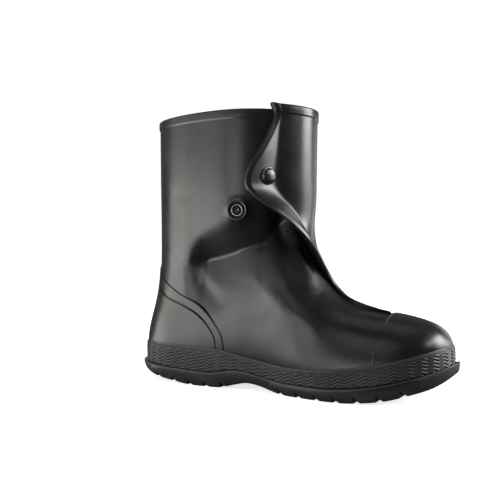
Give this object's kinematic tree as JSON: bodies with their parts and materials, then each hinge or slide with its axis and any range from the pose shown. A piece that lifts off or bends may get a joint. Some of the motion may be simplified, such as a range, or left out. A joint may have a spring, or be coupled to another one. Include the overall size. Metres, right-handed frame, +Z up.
{
  "type": "overboot",
  "caption": "Black rubber overboot worn over a shoe: hollow upper with a folded front flap and snap, toe cap, heel counter, ribbed band and lugged sole.",
  "frame": {"origin": "on the floor under the middle of the boot's bounding box", "axes": "+X from heel to toe, +Y to the inner side of the right foot, +Z up from the floor"},
  "size_m": [0.332, 0.1346, 0.274],
  "materials": {
    "upper_rubber": "satin moulded black",
    "sole_rubber": "matt grained black",
    "snap_metal": "dark enamel"
  },
  "bodies": {
    "root": {"upper": "upper_rubber", "toe_cap": "upper_rubber", "heel_counter": "upper_rubber", "counter_strap": "upper_rubber", "stud_boss": "upper_rubber", "foxing": "sole_rubber", "outsole": "sole_rubber", "snap_cap": "snap_metal", "snap_socket": "snap_metal", "snap_stud": "snap_metal"}
  },
  "joints": []
}
